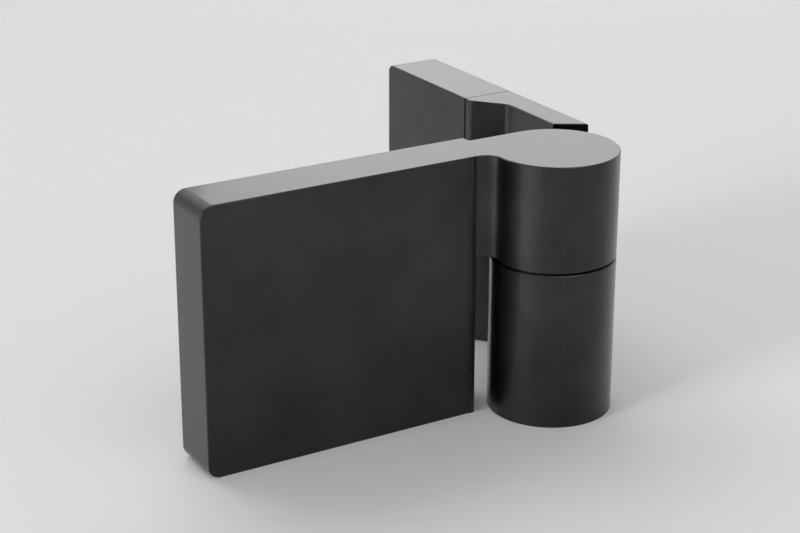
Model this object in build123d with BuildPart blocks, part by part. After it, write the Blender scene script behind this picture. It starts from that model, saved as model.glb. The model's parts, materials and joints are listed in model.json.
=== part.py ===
from build123d import *

import os
from math import sqrt

# Glass door hinge: a fixed leaf for the wall and a door leaf for the glass, both
# full height, that meet in a round two-part knuckle on one vertical pin.
#
# Frame: the pin axis is Z and the foot of the hinge is at Z = 0. With the leaves at
# 90 degrees the door leaf points along -X and sits on glass at its +Y side, and the
# fixed leaf points along +Y and sits on a wall at its +X side. All sizes are in mm.

# Driving dimensions: the hinge as a whole
height = 90.0
barrel_radius = 20.9
mount_step = 3.6             # how far the mounting planes stand proud of the knuckles
leaf_thickness = 19.0
edge_break = 0.3

# Knuckles
fixed_knuckle_height = 53.4
thrust_washer_thickness = 0.9
thrust_washer_inset = 2.9    # rim of the washer to the barrel's side
axial_play = 0.05

# Door leaf
door_reach = 124.5           # pin axis to the outer end
door_corner_radius = 4.2     # outer corners of the leaf, seen square on
door_shoulder = 7.85         # side of the barrel to the joint between casting and cover
door_seam_gap = 0.05
neck_fillet = 6.0
shoulder_overlap = 0.95      # how far the full thickness reaches in past the barrel's side
notch_fillet = 1.0
neck_relief = 1.2            # underside of the neck above the foot of the door knuckle
scoop_gap = 6.15             # room between the fixed knuckle and the door leaf below the neck

# Fixed leaf
fixed_reach = 115.5
fixed_corner_radius = 2.6
fixed_seam = 62.8            # pin axis to the joint between casting and cover
fixed_seam_gap = 0.35
arm_thickness = 10.1
recess_lip = 3.0             # from that joint to where the leaf begins to slope back to the arm
recess_run = 11.0            # length of that slope along the leaf
recess_round = 1.5
recess_fillet = 4.0
arm_root_fillet = 3.5
tongue_clearance = 0.45      # arm's root fillet to the oblique end above the arm
tongue_slant = 6.2           # length of that oblique end along the leaf

# Covers, base plates and pads
cover_wall = 2.0
fit_gap = 0.2
plate_thickness = 5.0
plate_root = 2.0             # how far a base plate runs into its shoulder
plate_corner_radius = 1.5    # of the base plates and the pads
pad_recess = 0.8
pad_margin = 1.0
glass_gasket_thickness = 1.5
wall_pad_thickness = 1.2
rib_inset = 14.0             # middle of a rib to the end of its cover
rib_height = 1.0             # ribs in the cover's roof that hook into the base plate
rib_width = 1.6
rib_length = 16.0
rib_gap = 0.15

# Holes for the wall screws and the glass bolts
wall_hole_radius = 2.75
wall_sink_radius = 5.2
wall_spacing_out = 26.0
wall_spacing_up = 56.0
glass_hole_radius = 4.25
glass_sink_radius = 7.5
glass_sink_depth = 1.5
glass_spacing = 50.0
pad_hole_margin = 0.8
sink_angle = 90.0            # of every countersunk screw

# Pivot
pin_radius = 6.0
pin_engagement = 26.0        # length of pin inside the door knuckle
pin_chamfer = 0.8
pin_fit = 0.02               # radial clearance of the pin in the door knuckle
running_clearance = 0.04     # radial clearance of the pin in the bushes
bore_relief = 0.5
bush_wall = 2.0
bush_length = 18.0
bush_fit = 0.01
counterbore_radius = 11.0    # for the washer, the ring and the plug under the fixed knuckle
counterbore_depth = 10.0
retaining_washer_thickness = 1.5
ring_thickness = 1.0
ring_width = 1.9
ring_groove_depth = 0.3
ring_play = 0.1
ring_opening = 3.6
ring_ear_radius = 1.7
pin_end_length = 2.0         # pin below the retaining ring
plug_thickness = 4.0

# Screws
set_screw_radius = 3.0
set_screw_length = 11.0
set_screw_socket = 1.5       # inner radius of the hexagon socket
set_screw_socket_depth = 3.0
set_screw_middle = 13.05     # foot of the door knuckle to half way between its two screws
set_screw_spacing = 11.0
pin_flat_depth = 0.6
pin_flat_length = 20.0
thread_gap = 0.03
cover_screw_radius = 1.5
cover_screw_head = 2.7
cover_screw_length = 9.0
cover_screw_recess = 0.2     # the head sits this far inside the cover's foot
cover_screw_socket = 0.8
cover_screw_socket_depth = 0.8
socket_sides = 6

# Places worked out from the sizes above
mount_offset = barrel_radius + mount_step
face_offset = mount_offset - leaf_thickness
arm_offset = mount_offset - arm_thickness
plate_offset = mount_offset - pad_recess - plate_thickness
pad_offset = mount_offset - pad_recess
plate_middle = plate_offset + plate_thickness / 2
plate_edge = cover_wall + fit_gap
door_seam = barrel_radius + door_shoulder
recess_start = fixed_seam - recess_lip
shoulder_end = barrel_radius - shoulder_overlap
arm_root_end = sqrt((barrel_radius + arm_root_fillet) ** 2 - (arm_offset - arm_root_fillet) ** 2)
tongue_tip_inner = arm_root_end + tongue_clearance
tongue_tip_outer = tongue_tip_inner - tongue_slant
thrust_washer_radius = barrel_radius - thrust_washer_inset
door_knuckle_base = fixed_knuckle_height + thrust_washer_thickness + axial_play
scoop_radius = barrel_radius + scoop_gap
bush_radius = pin_radius + bush_wall
pin_top = door_knuckle_base + pin_engagement
washer_foot = counterbore_depth - retaining_washer_thickness
ring_foot = washer_foot - ring_play - ring_thickness
pin_foot = ring_foot - pin_end_length
pin_flat_offset = pin_radius - pin_flat_depth
set_screw_level = door_knuckle_base + set_screw_middle
cover_screw_head_height = cover_screw_head - cover_screw_radius

# Directions: "out" runs from the pin along a leaf, "back" points at its mounting plane
door_out, door_back = Vector(-1, 0, 0), Vector(0, 1, 0)
fixed_out, fixed_back = Vector(0, 1, 0), Vector(1, 0, 0)


def plan(out, top):
    """Level plane at a height, x along the leaf and y towards its mounting plane."""
    return Plane(origin=(0, 0, top), x_dir=out, z_dir=(0, 0, -1))


def elevation(out, back, offset):
    """Upright plane square to the leaf, x along the leaf, y up, normal to the mounting plane."""
    return Plane(origin=back * offset, x_dir=out, z_dir=back)


def drilling(out, back, offset, centre):
    """Plane for holes drilled towards the mounting plane at half height."""
    origin = back * offset + out * centre + Vector(0, 0, height / 2)
    return Plane(origin=origin, x_dir=out, z_dir=back * -1)


def panel(start, end, foot, radius):
    """Upright rectangle from start to end with both outer corners rounded."""
    with BuildSketch() as shape:
        with Locations((start, foot)):
            Rectangle(end - start, height - 2 * foot, align=Align.MIN)
        fillet(shape.vertices().group_by(Axis.X)[-1], radius)
    return shape.sketch


def cover_screw_foot(out, back, seam, reach):
    """Place under the screw that holds a cover to the lower edge of its base plate."""
    return out * ((seam + reach) / 2) + back * plate_middle


def rib_places(seam, reach):
    """Middles of the two roof ribs, seen from above."""
    return [(seam + rib_inset, plate_middle), (reach - rib_inset, plate_middle)]


def leaf_cover(out, back, seam, reach, seam_gap, corner_radius):
    """Cover shell, open towards its mounting plane and at the seam."""
    start = seam + seam_gap
    with BuildPart() as cover:
        with BuildSketch(elevation(out, back, face_offset)):
            add(panel(start, reach, 0, corner_radius))
        extrude(amount=leaf_thickness)
        show_face = cover.faces().sort_by(Axis((0, 0, 0), back))[0]
        rim_face = cover.faces().sort_by(Axis((0, 0, 0), back))[-1]
        seam_edges = cover.faces().sort_by(Axis((0, 0, 0), out))[0].edges()
        rim_edges = [edge for edge in rim_face.edges() if edge not in seam_edges]
        chamfer(show_face.edges() + rim_edges, edge_break)
        with BuildSketch(elevation(out, back, face_offset + cover_wall)):
            add(panel(seam, reach - cover_wall, cover_wall, corner_radius - cover_wall))
        extrude(amount=leaf_thickness, mode=Mode.SUBTRACT)
        with BuildSketch(plan(out, height - cover_wall)):
            with Locations(*rib_places(seam, reach)):
                Rectangle(rib_length, rib_width)
        extrude(amount=rib_height)
        with Locations(Plane(cover_screw_foot(out, back, seam, reach), z_dir=(0, 0, -1))):
            CounterSinkHole(
                radius=cover_screw_radius + fit_gap,
                counter_sink_radius=cover_screw_head + fit_gap,
                depth=cover_wall,
                counter_sink_angle=sink_angle,
            )
    return cover


def plate_cuts(out, back, seam, reach):
    """Grooves and screw hole that a cover needs in the edges of its base plate."""
    with BuildPart(mode=Mode.PRIVATE) as cuts:
        with BuildSketch(plan(out, height - plate_edge)):
            with Locations(*rib_places(seam, reach)):
                Rectangle(rib_length + 2 * rib_gap, rib_width + 2 * rib_gap)
        extrude(amount=rib_height - fit_gap + rib_gap)
        with BuildSketch(plan(out, plate_edge + cover_screw_length)):
            with Locations(((seam + reach) / 2, plate_middle)):
                Circle(cover_screw_radius + thread_gap)
        extrude(amount=cover_screw_length)
    return cuts.part


def bush(foot):
    """Plain bush for the pin, pressed into the fixed knuckle at a height."""
    with BuildPart() as sleeve:
        with BuildSketch(Plane.XY.offset(foot)):
            Circle(bush_radius - bush_fit)
            Circle(pin_radius + running_clearance, mode=Mode.SUBTRACT)
        extrude(amount=bush_length)
    return sleeve


def cover_screw(foot):
    """Countersunk screw that stands head down just inside the given place."""
    low_middle = (Align.CENTER, Align.CENTER, Align.MIN)
    with BuildPart() as screw:
        with Locations(foot + Vector(0, 0, cover_screw_recess)):
            Cone(cover_screw_head, cover_screw_radius, cover_screw_head_height, align=low_middle)
            Cylinder(cover_screw_radius, cover_screw_length, align=low_middle)
        with BuildSketch(Plane.XY.offset(cover_screw_recess)):
            with Locations(foot):
                RegularPolygon(cover_screw_socket, socket_sides, major_radius=False)
        extrude(amount=cover_screw_socket_depth, mode=Mode.SUBTRACT)
    return screw


# Fixed leaf: knuckle, arm, upright tongue and base plate in one casting
recess_outline = [
    (fixed_seam, mount_offset),
    (fixed_seam, face_offset),
    (recess_start, face_offset),
    (recess_start - recess_run, arm_offset),
]
with BuildPart() as fixed_leaf:
    with BuildSketch(plan(fixed_out, fixed_knuckle_height)) as arm:
        Circle(barrel_radius)
        with BuildLine():
            Polyline(
                (0, barrel_radius),
                (tongue_tip_outer, barrel_radius),
                (tongue_tip_outer, mount_offset),
                *recess_outline,
                (0, arm_offset),
                close=True,
            )
        make_face()
        arm_root = (sqrt(barrel_radius**2 - arm_offset**2), arm_offset)
        fillet(arm.vertices().sort_by_distance(arm_root)[0], arm_root_fillet)
        fillet(arm.vertices().sort_by_distance(recess_outline[2])[0], recess_round)
        fillet(arm.vertices().sort_by_distance(recess_outline[3])[0], recess_fillet)
    extrude(amount=fixed_knuckle_height)
    with BuildSketch(plan(fixed_out, height)) as tongue:
        with BuildLine():
            Polyline(
                (tongue_tip_inner, arm_offset),
                (tongue_tip_outer, mount_offset),
                *recess_outline,
                close=True,
            )
        make_face()
        fillet(tongue.vertices().sort_by_distance(recess_outline[2])[0], recess_round)
        fillet(tongue.vertices().sort_by_distance(recess_outline[3])[0], recess_fillet)
    extrude(amount=height - fixed_knuckle_height)
    top_face = fixed_leaf.faces().sort_by(Axis.Z)[-1]
    seam_edges = fixed_leaf.faces().sort_by(Axis((0, 0, 0), fixed_out))[-1].edges()
    front_seam_edge = seam_edges.sort_by(Axis((0, 0, 0), fixed_back))[0]
    top_edges = [edge for edge in top_face.edges() if edge not in seam_edges]
    chamfer(top_edges + [front_seam_edge], edge_break)
    rims = fixed_leaf.edges().filter_by(GeomType.CIRCLE)
    rims = rims.filter_by(lambda edge: edge.radius == barrel_radius)
    chamfer(rims.sort_by(Axis.Z)[-1], edge_break)
    with BuildSketch(elevation(fixed_out, fixed_back, plate_offset)):
        end = fixed_reach - plate_edge
        add(panel(fixed_seam - plate_root, end, plate_edge, plate_corner_radius))
    extrude(amount=plate_thickness)
    add(plate_cuts(fixed_out, fixed_back, fixed_seam, fixed_reach), mode=Mode.SUBTRACT)
    with Locations(drilling(fixed_out, fixed_back, plate_offset, (fixed_seam + fixed_reach) / 2)):
        with GridLocations(wall_spacing_out, wall_spacing_up, 2, 2):
            CounterSinkHole(wall_hole_radius, wall_sink_radius, plate_thickness, sink_angle)
    with BuildSketch():
        Circle(bush_radius)
    extrude(amount=fixed_knuckle_height, mode=Mode.SUBTRACT)
    with BuildSketch():
        Circle(counterbore_radius)
    extrude(amount=counterbore_depth, mode=Mode.SUBTRACT)

# Door leaf: knuckle, neck, scooped shoulder and base plate in one casting
with BuildPart() as door_leaf:
    with BuildSketch(plan(door_out, height)) as neck:
        Circle(barrel_radius)
        with BuildLine():
            Polyline(
                (0, face_offset),
                (door_seam, face_offset),
                (door_seam, mount_offset),
                (shoulder_end, mount_offset),
                (shoulder_end, barrel_radius),
                (0, barrel_radius),
                close=True,
            )
        make_face()
        neck_root = (sqrt(barrel_radius**2 - face_offset**2), face_offset)
        fillet(neck.vertices().sort_by_distance(neck_root)[0], neck_fillet)
        fillet(neck.vertices().sort_by_distance((shoulder_end, barrel_radius))[0], notch_fillet)
    extrude(amount=height - door_knuckle_base)
    with BuildSketch(plan(door_out, door_knuckle_base)):
        with Locations((shoulder_end, face_offset)):
            Rectangle(door_seam - shoulder_end, leaf_thickness, align=Align.MIN)
        Circle(scoop_radius, mode=Mode.SUBTRACT)
    extrude(amount=door_knuckle_base)
    with BuildSketch(plan(door_out, door_knuckle_base + neck_relief)):
        Circle(scoop_radius)
        Circle(barrel_radius, mode=Mode.SUBTRACT)
    extrude(amount=neck_relief, mode=Mode.SUBTRACT)
    top_face = door_leaf.faces().sort_by(Axis.Z)[-1]
    seam_edges = door_leaf.faces().sort_by(Axis((0, 0, 0), door_out))[-1].edges()
    front_seam_edge = seam_edges.sort_by(Axis((0, 0, 0), door_back))[0]
    top_edges = [edge for edge in top_face.edges() if edge not in seam_edges]
    chamfer(top_edges + [front_seam_edge], edge_break)
    with BuildSketch(elevation(door_out, door_back, plate_offset)):
        end = door_reach - plate_edge
        add(panel(door_seam - plate_root, end, plate_edge, plate_corner_radius))
    extrude(amount=plate_thickness)
    add(plate_cuts(door_out, door_back, door_seam, door_reach), mode=Mode.SUBTRACT)
    with Locations(drilling(door_out, door_back, plate_offset, (door_seam + door_reach) / 2)):
        with GridLocations(glass_spacing, 1, 2, 1):
            CounterBoreHole(glass_hole_radius, glass_sink_radius, glass_sink_depth, plate_thickness)
    with BuildSketch(Plane.XY.offset(door_knuckle_base)):
        Circle(pin_radius + pin_fit)
    extrude(amount=pin_engagement + bore_relief, mode=Mode.SUBTRACT)
    with BuildSketch(elevation(door_out, door_back, pin_flat_offset)):
        with Locations((0, set_screw_level)):
            with GridLocations(1, set_screw_spacing, 1, 2):
                Circle(set_screw_radius + thread_gap)
    extrude(amount=barrel_radius, mode=Mode.SUBTRACT)

# Covers and the screws that hold them
fixed_leaf_cover = leaf_cover(
    fixed_out, fixed_back, fixed_seam, fixed_reach, fixed_seam_gap, fixed_corner_radius
)
door_leaf_cover = leaf_cover(
    door_out, door_back, door_seam, door_reach, door_seam_gap, door_corner_radius
)
fixed_cover_screw = cover_screw(cover_screw_foot(fixed_out, fixed_back, fixed_seam, fixed_reach))
door_cover_screw = cover_screw(cover_screw_foot(door_out, door_back, door_seam, door_reach))

# Pads between the base plates and the wall or the glass
with BuildPart() as wall_pad:
    with BuildSketch(elevation(fixed_out, fixed_back, pad_offset)):
        end = fixed_reach - plate_edge
        add(panel(fixed_seam + pad_margin, end, plate_edge, plate_corner_radius))
        with Locations(((fixed_seam + fixed_reach) / 2, height / 2)):
            with GridLocations(wall_spacing_out, wall_spacing_up, 2, 2):
                Circle(wall_hole_radius + pad_hole_margin, mode=Mode.SUBTRACT)
    extrude(amount=wall_pad_thickness)

with BuildPart() as glass_gasket:
    with BuildSketch(elevation(door_out, door_back, pad_offset)):
        end = door_reach - plate_edge
        add(panel(door_seam + pad_margin, end, plate_edge, plate_corner_radius))
        with Locations(((door_seam + door_reach) / 2, height / 2)):
            with GridLocations(glass_spacing, 1, 2, 1):
                Circle(glass_hole_radius + pad_hole_margin, mode=Mode.SUBTRACT)
    extrude(amount=glass_gasket_thickness)

# Pivot pin, with a flat for its set screws and a groove for the retaining ring
with BuildPart() as pivot_pin:
    with BuildSketch(Plane.XY.offset(pin_foot)):
        Circle(pin_radius)
    extrude(amount=pin_top - pin_foot)
    chamfer(pivot_pin.edges().filter_by(GeomType.CIRCLE), pin_chamfer)
    with BuildSketch(Plane.XY.offset(ring_foot - ring_play / 2)):
        Circle(pin_radius)
        Circle(pin_radius - ring_groove_depth, mode=Mode.SUBTRACT)
    extrude(amount=ring_thickness + ring_play, mode=Mode.SUBTRACT)
    with BuildSketch(elevation(door_out, door_back, pin_flat_offset)):
        with Locations((0, set_screw_level)):
            Rectangle(2 * pin_radius, pin_flat_length)
    extrude(amount=pin_radius, mode=Mode.SUBTRACT)

with BuildPart() as pin_set_screws:
    with BuildSketch(elevation(door_out, door_back, pin_flat_offset)):
        with Locations((0, set_screw_level)):
            with GridLocations(1, set_screw_spacing, 1, 2):
                Circle(set_screw_radius)
    extrude(amount=set_screw_length)
    socket_floor = pin_flat_offset + set_screw_length - set_screw_socket_depth
    with BuildSketch(elevation(door_out, door_back, socket_floor)):
        with Locations((0, set_screw_level)):
            with GridLocations(1, set_screw_spacing, 1, 2):
                RegularPolygon(set_screw_socket, socket_sides, major_radius=False)
    extrude(amount=set_screw_socket_depth, mode=Mode.SUBTRACT)

# Bearings between pin, fixed knuckle and door knuckle
upper_bush = bush(fixed_knuckle_height - bush_length)
lower_bush = bush(counterbore_depth)

with BuildPart() as thrust_washer:
    with BuildSketch(Plane.XY.offset(fixed_knuckle_height)):
        Circle(thrust_washer_radius)
        Circle(pin_radius + fit_gap, mode=Mode.SUBTRACT)
    extrude(amount=thrust_washer_thickness)

with BuildPart() as retaining_washer:
    with BuildSketch(Plane.XY.offset(washer_foot)):
        Circle(counterbore_radius - fit_gap)
        Circle(pin_radius + fit_gap, mode=Mode.SUBTRACT)
    extrude(amount=retaining_washer_thickness)

with BuildPart() as retaining_ring:
    with BuildSketch(Plane.XY.offset(ring_foot)):
        ring_inner = pin_radius - ring_groove_depth + pin_fit
        ear_distance = ring_inner + ring_ear_radius
        Circle(ring_inner + ring_width)
        with Locations((ear_distance, ring_opening / 2 + ring_ear_radius / 2)):
            Circle(ring_ear_radius)
        mirror(about=Plane.XZ)
        Circle(ring_inner, mode=Mode.SUBTRACT)
        with Locations((ear_distance, 0)):
            Rectangle(2 * ring_width + 2 * ring_ear_radius, ring_opening, mode=Mode.SUBTRACT)
    extrude(amount=ring_thickness)

with BuildPart() as bottom_plug:
    with BuildSketch():
        Circle(counterbore_radius - bush_fit)
    extrude(amount=plug_thickness)

pieces = {
    "fixed_leaf": fixed_leaf,
    "fixed_leaf_cover": fixed_leaf_cover,
    "fixed_cover_screw": fixed_cover_screw,
    "wall_pad": wall_pad,
    "upper_bush": upper_bush,
    "lower_bush": lower_bush,
    "thrust_washer": thrust_washer,
    "retaining_washer": retaining_washer,
    "bottom_plug": bottom_plug,
    "door_leaf": door_leaf,
    "door_leaf_cover": door_leaf_cover,
    "door_cover_screw": door_cover_screw,
    "glass_gasket": glass_gasket,
    "pivot_pin": pivot_pin,
    "pin_set_screws": pin_set_screws,
    "retaining_ring": retaining_ring,
}
os.makedirs("parts", exist_ok=True)
for label, piece in pieces.items():
    piece.part.label = label
    export_step(piece.part, f"parts/{label}.step")
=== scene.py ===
import json
import math

import bpy
from mathutils import Euler, Matrix, Vector

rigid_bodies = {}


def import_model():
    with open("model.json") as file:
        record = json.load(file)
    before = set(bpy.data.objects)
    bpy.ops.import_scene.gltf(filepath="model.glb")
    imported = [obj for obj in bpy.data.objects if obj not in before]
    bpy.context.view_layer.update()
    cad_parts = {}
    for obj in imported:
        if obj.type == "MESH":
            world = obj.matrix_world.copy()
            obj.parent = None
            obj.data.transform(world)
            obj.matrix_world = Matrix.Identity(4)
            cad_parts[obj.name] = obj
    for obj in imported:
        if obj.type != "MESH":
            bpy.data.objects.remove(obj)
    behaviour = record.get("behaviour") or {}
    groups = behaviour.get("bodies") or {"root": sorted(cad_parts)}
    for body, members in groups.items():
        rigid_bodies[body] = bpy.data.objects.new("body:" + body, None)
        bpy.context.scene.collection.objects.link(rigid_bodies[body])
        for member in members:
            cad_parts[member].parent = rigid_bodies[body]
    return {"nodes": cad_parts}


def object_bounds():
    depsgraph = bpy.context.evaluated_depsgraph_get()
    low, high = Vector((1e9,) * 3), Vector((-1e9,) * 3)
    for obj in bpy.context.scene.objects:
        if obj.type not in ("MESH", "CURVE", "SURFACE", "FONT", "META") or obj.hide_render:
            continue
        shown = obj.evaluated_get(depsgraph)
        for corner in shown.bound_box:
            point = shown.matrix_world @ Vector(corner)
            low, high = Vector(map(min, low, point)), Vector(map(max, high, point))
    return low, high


for leftover in list(bpy.data.objects):
    bpy.data.objects.remove(leftover)

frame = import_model()
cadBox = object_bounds()
boxLow, boxHigh = Vector(cadBox[0]), Vector(cadBox[1])
boxSize = boxHigh - boxLow
print("frame loaded:", len(frame["nodes"]), "nodes")


def fromHex(code):
    # sRGB hex to the linear values that shaders work with
    parts = [int(code[i:i + 2], 16) / 255 for i in (1, 3, 5)]
    linear = [c / 12.92 if c <= 0.04045 else ((c + 0.055) / 1.055) ** 2.4 for c in parts]
    return (*linear, 1.0)


def addNode(tree, kind, settings=None, inputs=None, links=None):
    # one shader node: its own settings, its unlinked inputs, and links given as input: output
    node = tree.nodes.new(kind)
    for name, value in (settings or {}).items():
        setattr(node, name, value)
    for name, value in (inputs or {}).items():
        node.inputs[name].default_value = value
    for name, source in (links or {}).items():
        tree.links.new(source, node.inputs[name])
    return node


def setRamp(ramp, stops):
    # both ends of a two-colour ramp, each as (position, colour)
    for element, (position, colour) in zip(ramp.color_ramp.elements, stops):
        element.position = position
        element.color = colour


def perMetre(millimetres):
    # texture scale that gives features of this size, on Object coordinates in metres
    return 1000 / millimetres


def newMaterial(name):
    material = bpy.data.materials.new(name)
    material.use_nodes = True
    material.node_tree.nodes.clear()
    return material


def finishMaterial(material, surface):
    addNode(material.node_tree, "ShaderNodeOutputMaterial", links={"Surface": surface})
    return material


colourSpan = (0.35, 0.65)   # noise values that take the darkest and the lightest colour
roughSpan = (0.3, 0.7)      # and those that take the lowest and the highest roughness


def texturedSurface(name, look):
    # clouds and a finer grain, mixed, drive the colour and the roughness, and the grain alone the bump
    material = newMaterial(name)
    tree = material.node_tree
    coords = addNode(tree, "ShaderNodeTexCoord").outputs["Object"]
    stretched = addNode(tree, "ShaderNodeMapping",
                        inputs={"Scale": look.get("squash", (1, 1, 1))},
                        links={"Vector": coords}).outputs["Vector"]
    cloud = addNode(tree, "ShaderNodeTexNoise",
                    inputs={"Scale": perMetre(look["cloud"]), "Detail": 3.0, "Roughness": 0.55},
                    links={"Vector": coords}).outputs["Fac"]
    grain = addNode(tree, "ShaderNodeTexNoise",
                    inputs={"Scale": perMetre(look["grain"]), "Detail": 2.0, "Roughness": 0.6},
                    links={"Vector": stretched}).outputs["Fac"]
    both = addNode(tree, "ShaderNodeMix", {"data_type": "FLOAT"},
                   inputs={"Factor": look["grainShare"]},
                   links={"A": cloud, "B": grain}).outputs["Result"]
    colour = addNode(tree, "ShaderNodeValToRGB", links={"Fac": both})
    setRamp(colour, zip(colourSpan, (fromHex(look["colourDark"]), fromHex(look["colourLight"]))))
    rough = addNode(tree, "ShaderNodeMapRange",
                    inputs={"From Min": roughSpan[0], "From Max": roughSpan[1],
                            "To Min": look["roughLow"], "To Max": look["roughHigh"]},
                    links={"Value": both})
    bump = addNode(tree, "ShaderNodeBump",
                   inputs={"Strength": look["bumpStrength"], "Distance": look["bumpHeight"]},
                   links={"Height": grain})
    surface = addNode(tree, "ShaderNodeBsdfPrincipled",
                      inputs={"Metallic": look["metallic"], "IOR": look.get("ior", 1.5),
                              "Coat Weight": look.get("coat", 0.0),
                              "Coat Roughness": look.get("coatRough", 0.1)},
                      links={"Base Color": colour.outputs["Color"],
                             "Roughness": rough.outputs["Result"],
                             "Normal": bump.outputs["Normal"]})
    return finishMaterial(material, surface.outputs["BSDF"])


# aluminium, bead blasted and then anodised black: satin and nearly black, paler only where it mirrors
# a light, with a crisper sheen from the sealed oxide on top
anodisedCasting = {
    "colourDark": "#262626",
    "colourLight": "#343434",
    "cloud": 22.0,         # mm, slow drift of the dye over a face
    "grain": 0.9,          # mm, blasted dimples, drawn about five times coarser so that they show
    "grainShare": 0.25,
    "roughLow": 0.29,
    "roughHigh": 0.35,
    "bumpStrength": 0.04,
    "bumpHeight": 0.00002,   # m
    "metallic": 1.0,
    "coat": 0.5,           # the sealed oxide over the dye
    "coatRough": 0.07,
}

# the covers are milled from plate and blasted finer, so they look a little tighter than the castings
anodisedCover = anodisedCasting | {
    "cloud": 30.0,
    "grain": 0.7,
    "roughLow": 0.28,
    "roughHigh": 0.33,
    "bumpStrength": 0.03,
}

# stainless steel, ground between wheels: bright, with fine rings round the pin
groundSteel = {
    "colourDark": "#a9a9ac",
    "colourLight": "#c9c9cb",
    "cloud": 9.0,
    "grain": 0.35,         # mm from ring to ring, drawn about ten times coarser than real
    "grainShare": 0.7,
    "squash": (0.02, 0.02, 1),   # long round the pin, short along it
    "roughLow": 0.18,
    "roughHigh": 0.30,
    "bumpStrength": 0.12,
    "bumpHeight": 0.00001,   # m
    "metallic": 1.0,
}

# stainless steel, stamped and tumbled: duller and greyer than the pin, the same every way
tumbledSteel = groundSteel | {
    "colourDark": "#8f8f92",
    "colourLight": "#b3b3b5",
    "grain": 0.6,          # mm, small dents from the tumbling stones
    "squash": (1, 1, 1),
    "roughLow": 0.30,
    "roughHigh": 0.42,
}

# steel, turned and then blackened in hot salts: oily dark grey metal, patchy at its edges
blackenedSteel = {
    "colourDark": "#3c3c3f",
    "colourLight": "#565659",
    "cloud": 2.5,          # mm, patches of thinner oxide
    "grain": 0.3,          # mm, turning marks, about twice their real pitch
    "grainShare": 0.5,
    "roughLow": 0.30,
    "roughHigh": 0.45,
    "bumpStrength": 0.15,
    "bumpHeight": 0.00001,   # m
    "metallic": 1.0,
}

# acetal, turned from white rod: waxy off-white with faint rings from the tool
turnedAcetal = {
    "colourDark": "#d8d6cd",
    "colourLight": "#e6e4dc",
    "cloud": 8.0,
    "grain": 0.4,          # mm, the tool's feed per turn, drawn about four times coarser
    "grainShare": 0.6,
    "squash": (0.02, 0.02, 1),
    "roughLow": 0.32,
    "roughHigh": 0.42,
    "bumpStrength": 0.12,
    "bumpHeight": 0.00001,   # m
    "metallic": 0.0,
    "ior": 1.48,
}

# glass filled nylon, injection moulded in a spark eroded mould: even black with a fine matt grain
mouldedNylon = {
    "colourDark": "#1c1c1d",
    "colourLight": "#262627",
    "cloud": 6.0,          # mm, flow of the filler
    "grain": 0.5,          # mm, spark texture, drawn about three times coarser
    "grainShare": 0.6,
    "roughLow": 0.48,
    "roughHigh": 0.60,
    "bumpStrength": 0.2,
    "bumpHeight": 0.00002,   # m
    "metallic": 0.0,
    "ior": 1.53,
}

# EPDM rubber, calendered and die cut: dull charcoal black with a dusty bloom
calenderedRubber = {
    "colourDark": "#1a1a1b",
    "colourLight": "#2b2b2c",
    "cloud": 14.0,         # mm, bloom on the sheet
    "grain": 0.8,          # mm, imprint of the calender cloth
    "grainShare": 0.35,
    "roughLow": 0.70,
    "roughHigh": 0.85,
    "bumpStrength": 0.25,
    "bumpHeight": 0.00003,   # m
    "metallic": 0.0,
    "ior": 1.52,
}

finishes = {
    "blackAnodisedCasting": (anodisedCasting, ["fixed_leaf", "door_leaf"]),
    "blackAnodisedCover": (anodisedCover, ["fixed_leaf_cover", "door_leaf_cover"]),
    "groundStainlessSteel": (groundSteel, ["pivot_pin"]),
    "tumbledStainlessSteel": (tumbledSteel, ["retaining_washer"]),
    "blackenedSteel": (blackenedSteel, ["fixed_cover_screw", "door_cover_screw",
                                        "pin_set_screws", "retaining_ring"]),
    "turnedAcetal": (turnedAcetal, ["upper_bush", "lower_bush"]),
    "mouldedBlackNylon": (mouldedNylon, ["thrust_washer", "bottom_plug"]),
    "calenderedRubberSheet": (calenderedRubber, ["wall_pad", "glass_gasket"]),
}
dressed = 0
for name, (look, nodes) in finishes.items():
    material = texturedSurface(name, look)
    for node in nodes:
        for slot in frame["nodes"][node].material_slots:
            slot.material = material
        dressed += 1
print("materials done:", dressed, "of", len(frame["nodes"]), "nodes dressed")

studio = {
    "floorColour": "#d6d6d6",
    "floorRough": 0.8,
    "floorSheen": 0.2,
    "floorReach": 6.0,             # m from the hinge
    "worldColour": "#ffffff",
    "worldStrength": 0.42,
    "backdropColour": "#d6d6d6",   # what the camera and mirroring faces meet past the floor
    # heading in degrees from +X towards +Y, height in degrees, distance and sides in metres
    "lamps": {
        "lowBackSoftbox": {"heading": 40.0, "height": 28.0, "distance": 2.4,
                           "width": 2.2, "tall": 1.2, "watts": 10.8},
        "highBackSoftbox": {"heading": 95.0, "height": 52.0, "distance": 4.0,
                            "width": 3.2, "tall": 2.4, "watts": 67.0},
        "sideStrip": {"heading": 187.0, "height": 7.0, "distance": 2.4,
                      "width": 1.0, "tall": 0.44, "watts": 5.0,
                      "spread": 45.0},   # a grid keeps this low lamp off the floor beside it
        "frontSoftbox": {"heading": 275.0, "height": 50.0, "distance": 2.4,
                         "width": 2.0, "tall": 1.6, "watts": 10.0},
    },
}


def addFloor(look):
    # level floor under the hinge's foot
    reach = look["floorReach"]
    bpy.ops.mesh.primitive_plane_add(size=2 * reach, location=(0, 0, boxLow.z))
    floor = bpy.context.object
    floor.name = "floor"
    material = newMaterial("paintedFloor")
    tree = material.node_tree
    paint = addNode(tree, "ShaderNodeBsdfPrincipled",
                    inputs={"Base Color": fromHex(look["floorColour"]), "Roughness": look["floorRough"],
                            "Specular IOR Level": look["floorSheen"]})
    floor.data.materials.append(finishMaterial(material, paint.outputs["BSDF"]))


def wayTo(heading, height):
    # unit vector towards a heading and a height, both in degrees
    heading, height = math.radians(heading), math.radians(height)
    level = math.cos(height)
    return Vector((level * math.cos(heading), level * math.sin(heading), math.sin(height)))


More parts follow.
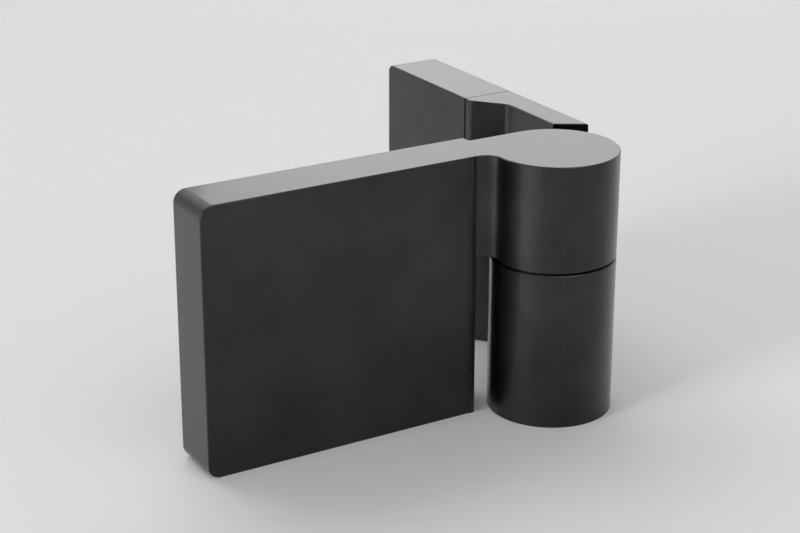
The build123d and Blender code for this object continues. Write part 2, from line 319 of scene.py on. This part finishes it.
def addLamp(name, look, middle):
    # soft rectangular lamp that faces the hinge
    way = wayTo(look["heading"], look["height"])
    data = bpy.data.lights.new(name, "AREA")
    data.shape = "RECTANGLE"
    data.size, data.size_y = look["width"], look["tall"]
    data.energy = look["watts"]
    data.spread = math.radians(look.get("spread", 180.0))
    lamp = bpy.data.objects.new(name, data)
    lamp.location = middle + way * look["distance"]
    lamp.rotation_euler = way.to_track_quat("Z", "Y").to_euler()
    bpy.context.collection.objects.link(lamp)


def addWorld(look):
    # weak even light on the floor, and a plain pale backdrop for what is seen or mirrored
    world = bpy.data.worlds.new("studio")
    world.use_nodes = True
    bpy.context.scene.world = world
    tree = world.node_tree
    tree.nodes.clear()
    rays = addNode(tree, "ShaderNodeLightPath").outputs
    seen = addNode(tree, "ShaderNodeMath", {"operation": "ADD"},
                   links={0: rays["Is Camera Ray"], 1: rays["Is Glossy Ray"]}).outputs["Value"]
    seenAtAll = addNode(tree, "ShaderNodeMath", {"operation": "ADD", "use_clamp": True},
                        links={0: seen, 1: rays["Is Transmission Ray"]}).outputs["Value"]
    light = addNode(tree, "ShaderNodeBackground",
                    inputs={"Color": fromHex(look["worldColour"]),
                            "Strength": look["worldStrength"]}).outputs["Background"]
    backdrop = addNode(tree, "ShaderNodeBackground",
                       inputs={"Color": fromHex(look["backdropColour"]),
                               "Strength": 1.0}).outputs["Background"]
    both = addNode(tree, "ShaderNodeMixShader", links={"Fac": seenAtAll, 1: light, 2: backdrop})
    addNode(tree, "ShaderNodeOutputWorld", links={"Surface": both.outputs["Shader"]})


middle = (boxLow + boxHigh) / 2
addFloor(studio)
for name, look in studio["lamps"].items():
    addLamp(name, look, middle)
addWorld(studio)
print("studio done")

shot = {
    "heading": 59.05,      # degrees from +X towards +Y
    "pitch": -20.98,
    "roll": 0.10,
    "distance": 0.6749,    # m from the aim
    "aim": (0.5936, 0.4330, 0.4813),   # share of the hinge's box
    "lens": 89.84,
    "nearest": 0.01,       # m, the nearest thing drawn
}


def addCamera(look):
    aim = boxLow + Vector([share * side for share, side in zip(look["aim"], boxSize)])
    data = bpy.data.cameras.new("camera")
    data.lens = look["lens"]
    data.clip_start = look["nearest"]
    camera = bpy.data.objects.new("camera", data)
    camera.location = aim - wayTo(look["heading"], look["pitch"]) * look["distance"]
    upright = Euler((math.radians(90 + look["pitch"]), 0, math.radians(look["heading"] - 90)))
    lean = Matrix.Rotation(math.radians(look["roll"]), 3, "Z")
    camera.rotation_euler = (upright.to_matrix() @ lean).to_euler()
    bpy.context.collection.objects.link(camera)
    bpy.context.scene.camera = camera


addCamera(shot)
bpy.context.scene.view_settings.view_transform = "Standard"
print("camera done")
